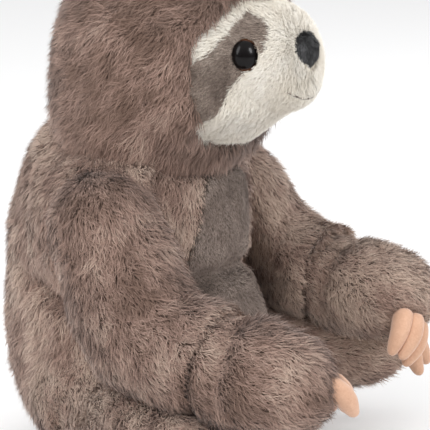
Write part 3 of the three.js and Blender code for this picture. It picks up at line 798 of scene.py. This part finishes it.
def nose_taper(spots):
    """The share of its width that the nose has at each height: it narrows below."""
    return 1 - 0.4 * ramped(spots[:, 2], nose_spot[2] + taper_from, -taper_run) ** 1.5


def face_way(spots):
    away = spots - nose_spot
    return away / lengths(away)[:, None] + np.array((0, 0, -0.25))


spots, out = places(face_skin), facings(face_skin)
flat = laid_flat(face_way(spots), out)
flat /= np.maximum(lengths(flat)[:, None], 0.3)
flag(face_skin, "comb", flat, "FLOAT_VECTOR")
off_nose = np.hypot((spots[:, 0] - nose_spot[0]) / (nose_half_width * nose_taper(spots)),
                    (spots[:, 2] - nose_spot[2]) / nose_half_height)
behind_nose = spots[:, 1] > nose_spot[1] + nose_depth
in_face = (face_depth(spots) > -0.01) & ((off_nose > 1) | behind_nose)
eye_radius, eye_gap, eye_side, eye_up = 0.0091, 0.0004, 26, 7.6
for hand in (1, -1):
    foot = np.array(Vector(head_middle) + look(hand * (eye_side - 2), eye_up) * head_round)
    in_face &= lengths(spots - foot) > eye_radius + eye_gap
in_patch = patch_depth(spots) > 0.0
flag(face_skin, "cover", in_face & ~in_patch)
flag(face_skin, "pile_length", np.ones(len(spots)))
cream_dye = dyed_pile("cream_plush_pile", (0.58, 0.52, 0.43), (0.76, 0.70, 0.60),
                      (0.86, 0.81, 0.72), (0.94, 0.91, 0.84))
patch_dye = dyed_pile("patch_plush_pile", (0.05, 0.033, 0.025), (0.06, 0.04, 0.03),
                      (0.24, 0.18, 0.145), (0.52, 0.43, 0.36))
plain_muzzle = tree_of(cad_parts["face_mask"])
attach(face_skin, "head")
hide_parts("face_mask")
short = {"Length": 0.0046, "Width": 0.0004, "Clump": 6.0, "Clump size": 0.004, "Wave": 0.6,
         "Stray": 0.25}
grow_pile("mask_pile", face_skin, "head", "cream_plush", cream_dye, 21, Locks=6e6, **short)
flag(face_skin, "cover", in_face & in_patch)
patch_pile = grow_pile("eye_patch_pile", face_skin, "head", "patch_plush", patch_dye, 22,
                       Locks=6e6, **{**short, "Length": 0.0040, "Shade": 0.08})
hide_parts("eye_patch_left", "eye_patch_right")

# Eyes. Moulded safety eyes: a clear dome over a brown iris with a large black pupil. A stem goes
# through the cloth to a white washer on the inside.
eye_dome, eye_stem, stem_radius, eye_proud = 0.0064, 0.014, 0.003, 0.0011
eye_back, eye_bevel, eye_rim = 0.002, 0.0015, 0.0004
iris_out, iris_up = 0.0044, 0.0007


def turned(name, profile, sides, foot, way):
    """A lathe-turned piece: its profile runs out from the foot along the way it looks."""
    spin = way.to_track_quat("Z", "Y")
    corners, faces = [], []
    for radius, rise in profile:
        for step in range(sides):
            angle = 2 * math.pi * step / sides
            spot = Vector((radius * math.cos(angle), radius * math.sin(angle), rise))
            corners.append(foot + spin @ spot)
    for ring in range(len(profile) - 1):
        for step in range(sides):
            a, b = ring * sides + step, ring * sides + (step + 1) % sides
            faces.append((a, b, b + sides, a + sides))
    mesh = bpy.data.meshes.new(name)
    mesh.from_pydata(corners, [], faces)
    shell = bmesh.new()
    shell.from_mesh(mesh)
    bmesh.ops.remove_doubles(shell, verts=shell.verts, dist=1e-6)
    bmesh.ops.recalc_face_normals(shell, faces=shell.faces)
    shell.to_mesh(mesh)
    shell.free()
    mesh.shade_smooth()
    return linked(name, mesh)


for side, hand in (("left", 1), ("right", -1)):
    way = look(hand * 23, 8)
    foot = Vector(head_middle) + look(hand * eye_side, eye_up) * head_round + way * eye_proud
    profile = [(0, -eye_stem), (stem_radius, -eye_stem), (stem_radius, -eye_back),
               (eye_radius * 0.98, -eye_bevel), (eye_radius, -eye_rim)]
    profile += [(eye_radius * math.cos(t), eye_dome * math.sin(t))
                for t in np.linspace(0.08, math.pi / 2, 16)]
    eye = turned(f"safety_eye_{side}", profile, 48, foot, way)
    gloss, bench, surface = finish(f"eye_gloss_{side}", {
        "Roughness": 0.25, "Specular IOR Level": 0.1, "Coat Weight": 0.17, "Coat Roughness": 0.03,
        "Coat IOR": 1.45})
    place = bench.add("ShaderNodeTexCoord", out="Object", vector=True)
    centre = bench.add("ShaderNodeCombineXYZ", {}, {
        "X": foot.x + hand * iris_out, "Y": foot.y, "Z": foot.z + iris_up}, vector=True)
    lever = bench.add("ShaderNodeVectorMath", {"operation": "CROSS_PRODUCT"}, {
        0: place - centre, 1: tuple(way)}, vector=True)
    off_axis = bench.add("ShaderNodeVectorMath", {"operation": "LENGTH"}, {0: lever}, out=1)
    ring = bench.ramp(off_axis / eye_radius, [
        (0.0, (0.003, 0.002, 0.002)), (0.80, (0.003, 0.002, 0.002)), (0.86, (0.04, 0.015, 0.007)),
        (0.94, (0.09, 0.035, 0.016)), (1.0, (0.08, 0.03, 0.014))])
    feed(bench, ring, surface, "Base Color")
    dressed(eye, gloss)
    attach(eye, "head")
    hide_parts(f"eye_{side}")

washer_white, bench, surface = finish("moulded_washer", {"Base Color": (0.8, 0.79, 0.75, 1)})
place = bench.add("ShaderNodeTexCoord", out="Object")
grain = bench.add("ShaderNodeTexNoise", sockets={"Vector": place, "Scale": 900.0})
feed(bench, grain * 0.2 + 0.4, surface, "Roughness")
for side in ("left", "right"):
    dressed(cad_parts[f"eye_washer_{side}"], washer_white)

# Nose. A small cushion of black clipped plush, stuffed, gathered narrower below and sewn to the
# end of the muzzle.
nose_sink = 0.0018
nose_skin = stuffed("nose_skin", ["nose"], weave=0.0007, rounds=8)
dressed(nose_skin, backing_cloth("black_backing", (0.006,) * 3, (0.014,) * 3))
spots = places(nose_skin)
spots[:, 0] = seat_middle.x + (spots[:, 0] - seat_middle.x) * nose_taper(spots)
spots[:, 1] += nose_sink
put_places(nose_skin, spots)
spots, out = places(nose_skin), facings(nose_skin)
flag(nose_skin, "comb", laid_flat(np.array((0, 0.2, -1.0)), out), "FLOAT_VECTOR")
flag(nose_skin, "cover", out[:, 1] < 0.55)
flag(nose_skin, "pile_length", np.ones(len(spots)))
# The palest locks' grey tips are painted highlight, glints on the black pile.
black_dye = dyed_pile("black_plush_pile", (0.004, 0.004, 0.004), (0.003, 0.003, 0.003),
                      (0.007, 0.007, 0.0075), (0.13, 0.13, 0.135), roughness=0.38, sheen=0.05,
                      specular=0.3)
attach(nose_skin, "head")
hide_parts("nose")
grow_pile("nose_pile", nose_skin, "head", "black_plush", black_dye, 31, Locks=9e6,
          Length=0.0024, Width=0.00032, Rise=0.6, Lean=0.9, Clump=60.0, Wave=0.6, Stray=0.3)


# Mouth. One line of brown sewing thread that smiles at both corners, pulled into the short pile
# under the nose.
def rounded_copy(name, nodes):
    """The frame's solids with their flats and edges rounded off."""
    piece = sewn_copy(name, nodes)
    rounded = piece.modifiers.new("rounded", "SUBSURF")
    rounded.levels = rounded.render_levels = 2
    settled(piece).data.shade_smooth()
    return piece


mouth = rounded_copy("mouth_thread", ["mouth_stitch"])
spots, muzzle = places(mouth), tree_of(face_skin)


def front_of(tree, across, height):
    return tree.ray_cast(Vector((across, -0.4, height)), Vector((0, 1, 0)))[0].y


widening, corner_lift, corner_at, thread_depth = 1.6, 0.0028, 0.018, 0.0014
for spot in spots:
    wider = seat_middle.x + (spot[0] - seat_middle.x) * widening
    raised = spot[2] + corner_lift * ((wider - seat_middle.x) / corner_at) ** 2
    spot[1] += front_of(muzzle, wider, raised) - front_of(plain_muzzle, spot[0], spot[2])
    spot[1] += thread_depth
    spot[0], spot[2] = wider, raised
put_places(mouth, spots)
thread_brown, bench, surface = finish("mouth_thread", {"Roughness": 0.8})
place = bench.add("ShaderNodeTexCoord", out="Object")
twist = bench.add("ShaderNodeTexWave", sockets={"Vector": place, "Scale": 420.0})
feed(bench, bench.mixed(twist, (0.03, 0.018, 0.012), (0.10, 0.062, 0.042)), surface, "Base Color")
bumped(bench, surface, twist, 0.6, 0.0003)
dressed(mouth, thread_brown)
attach(mouth, "head")
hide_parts("mouth_stitch")


# Torso. A pear of brown plush that swells at the seat, with a tongue of short grey velour let
# into its front. A bag of pellets lies inside on the seat.
def torso_way(spots, band=0.03):
    """Down, a little out to the sides, and swayed in bands by handling."""
    around = spots - np.array(seat_middle)
    sway = 0.25 * np.sin(around[:, 2] / band) + 0.2 * np.sign(around[:, 0])
    return np.stack([sway, 0 * sway, -1 + 0 * sway], 1)


def torso_cover(spots, bare_seat=0.0012):
    return (belly_depth(spots) < 0.02) * (spots[:, 2] > bare_seat)


comb_skin(torso_skin, torso_way, torso_cover)
lengthened(torso_skin, np.clip(-belly_depth(places(torso_skin)) / 0.2, 0.5, 1))
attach(torso_skin, "torso")
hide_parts("torso_shell", "torso_stuffing")
# The torso's pile is made lighter, as painted light.
grow_coat("torso_pile", torso_skin, "torso", 41, shade=0.12, sheets=2)

velour_lift, velour_lumps = 0.0012, 0.0008
belly_skin = stuffed("belly_velour", torso_nodes, weave=0.0022, rounds=20)
spots, out = places(belly_skin), facings(belly_skin)
swell = low_belly(spots) - waist_fold(spots) + velour_lift
swell += velour_lumps * lumps(spots, 0.018, 12)
put_places(belly_skin, spots + out * swell[:, None])
trimmed(belly_skin, belly_depth(spots) < -0.06)
dressed(belly_skin, backing_cloth("grey_backing", (0.10, 0.078, 0.066), (0.15, 0.12, 0.10)))
spots, out = places(belly_skin), facings(belly_skin)
flag(belly_skin, "comb", laid_flat(np.array((0, 0, -1.0)), out), "FLOAT_VECTOR")
flag(belly_skin, "cover", belly_depth(spots) > -0.02)
flag(belly_skin, "pile_length", np.ones(len(spots)))
velour_dye = dyed_pile("grey_velour_pile", (0.10, 0.072, 0.06), (0.15, 0.113, 0.094),
                       (0.28, 0.218, 0.184), (0.43, 0.345, 0.295), sheen=0.1)
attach(belly_skin, "torso")
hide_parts("belly_panel")
velour = {"Length": 0.0022, "Width": 0.0004, "Clump": 8.0, "Wave": 0.7, "Stray": 0.25}
grow_pile("belly_pile", belly_skin, "torso", "grey_velour", velour_dye, 42, Locks=4.2e6, **velour)

bag = stuffed("seat_bag", ["pellet_bag"], weave=0.003, rounds=4)
spots = places(bag)
middle, bag_share, bag_shift = spots.mean(axis=0), (0.8, 0.86, 0.94), (0, 0.004, 0)
put_places(bag, middle + (spots - middle) * bag_share + bag_shift)
bag_cotton, bench, surface = finish("bag_cotton", {"Roughness": 0.9})
place = bench.add("ShaderNodeTexCoord", out="Object")
pellets = bench.add("ShaderNodeTexVoronoi", {}, {"Vector": place, "Scale": 260.0})
feed(bench, bench.mixed(pellets, (0.55, 0.52, 0.47), (0.72, 0.70, 0.65)), surface, "Base Color")
bumped(bench, surface, pellets, 0.8, 0.001)
dressed(bag, bag_cotton)
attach(bag, "torso")
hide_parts("pellet_bag")

# Arms and hands. Each arm is a long plush sock that hangs from the shoulder and rests on the
# leg, and a crease behind the paw lets it bend. The pile is combed to the claws.
# The left arm's pile is painted lighter and the right arm's darker, as painted light and shade on
# two arms of one plush.
arm_painted_shading = {"left": 0.28, "right": -0.08}
for index, side in enumerate(("left", "right")):
    for skin, part, seed in ((arm_skins[side], "arm", 51), (hand_skins[side], "hand", 61)):
        comb_skin(skin, along_path(arm_paths[side]), everywhere)
        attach(skin, f"{part}_{side}")
        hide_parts(f"{part}_{side}", f"{part}_stuffing_{side}")
        grow_coat(f"{part}_pile_{side}", skin, f"{part}_{side}", seed + index,
                  shade=arm_painted_shading[side])

# Legs. Each leg is a plush sock too, splayed out from the hip, with a sole of short velour under
# the foot.
sole_radius, sole_lap, foot_radius = 0.015, 0.001, 0.024


def sole_depth(side, spots):
    """How far inside the sole's round edge each spot of the foot lies."""
    knee, toe = (np.array(spot) for spot in leg_paths[side][1:])
    forward = (toe - knee) / np.linalg.norm(toe - knee)
    centre = toe - forward * foot_radius
    way = 0.6 * forward - np.array((0, 0, 1.0))
    way /= np.linalg.norm(way)
    around = spots - centre
    rise = around @ way
    off = lengths(around - rise[:, None] * way)
    return np.where(rise > 0, sole_radius - off, -1.0)


for index, side in enumerate(("left", "right")):
    skin = leg_skins[side]
    comb_skin(skin, along_path(leg_paths[side]),
              lambda spots: (sole_depth(side, spots) < sole_lap).astype(float))
    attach(skin, f"leg_{side}")
    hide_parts(f"leg_{side}", f"leg_stuffing_{side}")
    # The legs' pile is made lighter, as painted light.
    grow_coat(f"leg_pile_{side}", skin, f"leg_{side}", 71 + index, shade=0.17)
    flag(skin, "cover", sole_depth(side, places(skin)) > -sole_lap)
    sole = grow_pile(f"sole_pile_{side}", skin, f"leg_{side}", "grey_velour", velour_dye,
                     75 + index, Locks=5e6, **velour)
    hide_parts(f"sole_{side}")
bpy.data.objects.remove(hair_lock)

# Claws. Each is a curved finger of brushed suede cloth, sewn down both sides, turned, filled and
# set in the paw's end.
claw_suede, bench, surface = finish("claw_suede", {
    "Roughness": 0.9, "Specular IOR Level": 0.15, "Sheen Weight": 0.4, "Sheen Roughness": 0.5})
place = bench.add("ShaderNodeTexCoord", out="Object")
nap = bench.add("ShaderNodeTexNoise", sockets={"Vector": place, "Scale": 900.0, "Detail": 3.0})
cloud = bench.add("ShaderNodeTexNoise", sockets={"Vector": place, "Scale": 120.0})
feed(bench, bench.mixed(nap * 0.5 + cloud * 0.5, (0.46, 0.25, 0.155), (0.72, 0.46, 0.325)),
     surface, "Base Color")
bumped(bench, surface, nap, 0.35, 0.0004)
root_swell = 0.0022
claw_shift = {"left": (0.002, -0.0045, -0.004), "right": (0, 0.0035, -0.001)}
claw_step = {"left": (-0.003, 0.0015, 0), "right": (0, 0, 0)}
for side in ("left", "right"):
    for part, body in (("hand", f"hand_{side}"), ("foot", f"leg_{side}")):
        for number in (1, 2, 3):
            claw = rounded_copy(f"{part}_suede_claw_{side}_{number}",
                                [f"{part}_claw_{side}_{number}"])
            spots, out = places(claw), facings(claw)
            paw = np.mean(places(hand_skins[side] if part == "hand" else leg_skins[side]), axis=0)
            away = lengths(spots - paw)
            away = (away - away.min()) / (away.max() - away.min())
            spots = spots + out * (root_swell * (1 - away ** 3))[:, None]
            if part == "hand":
                spots += np.array(claw_shift[side]) + np.array(claw_step[side]) * (number - 1)
            put_places(claw, spots)
            dressed(claw, claw_suede)
            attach(claw, body)
            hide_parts(f"{part}_claw_{side}_{number}")

# Studio. A white paper floor, a dome of soft light that is brightest overhead, a broad lamp on
# the upper left, a smaller one in front and a weak one on the right.
sweep = bpy.data.meshes.new("studio_floor")
sweep.from_pydata([(-8, 8, 0), (-8, -8, 0), (8, -8, 0), (8, 8, 0)], [], [(0, 1, 2, 3)])
floor = linked("studio_floor", sweep)
paper, bench, surface = finish("studio_paper", {
    "Base Color": (0.96, 0.96, 0.96, 1), "Roughness": 0.95, "Specular IOR Level": 0.1})
dressed(floor, paper)
world = bpy.data.worlds.new("studio")
world.use_nodes = True
bench = Bench(world.node_tree)
height = bench.parted(bench.add("ShaderNodeTexCoord", out="Generated"))[2]
dome = bench.ramp(height, [
    (0.0, (0.35, 0.35, 0.36)), (0.25, (0.45, 0.45, 0.46)), (0.8, (1.0, 1.0, 1.0))])
seen = bench.add("ShaderNodeLightPath", out="Is Camera Ray")
feed(bench, bench.mixed(seen, dome, (1.0, 1.0, 1.0)), world.node_tree.nodes["Background"], "Color")
bpy.context.scene.world = world
bpy.context.scene.view_settings.view_transform = "Standard"
middle = Vector((0, 0, 0.14))
for name, spot, size, power in (("key", (-1.8, 0.45, 1.6), 1.1, 34),
                                ("front", (0.0, -1.9, 1.2), 0.5, 18),
                                ("side", (1.8, -0.5, 1.1), 0.6, 5)):
    lamp = bpy.data.lights.new(name, "AREA")
    lamp.shape = "ELLIPSE"
    lamp.size = size
    lamp.size_y = 2 * size
    lamp.energy = power
    light = linked(name, lamp)
    light.location = spot
    light.rotation_euler = (middle - Vector(spot)).to_track_quat("-Z", "Y").to_euler()

# Camera. It looks from the toy's right side and a little above, with a long lens, as the
# photograph does.
azimuth, elevation, distance = math.radians(-60), math.radians(12), 1.2
picture_width, pixels_per_metre, pixels_right, pixels_up = 430, 1680, 92.5, 225
right = Vector((math.cos(azimuth), math.sin(azimuth), 0))
back = Vector((math.sin(azimuth) * math.cos(elevation), -math.cos(azimuth) * math.cos(elevation),
               math.sin(elevation)))
up = back.cross(right)
target = (seat_middle + right * (pixels_right / pixels_per_metre)
          + up * (pixels_up / pixels_per_metre))
lens = bpy.data.cameras.new("camera")
lens.sensor_width = 36
lens.lens = lens.sensor_width * distance * pixels_per_metre / picture_width
camera = linked("camera", lens)
camera.location = target + back * distance
camera.rotation_euler = back.to_track_quat("Z", "Y").to_euler()
bpy.context.scene.camera = camera
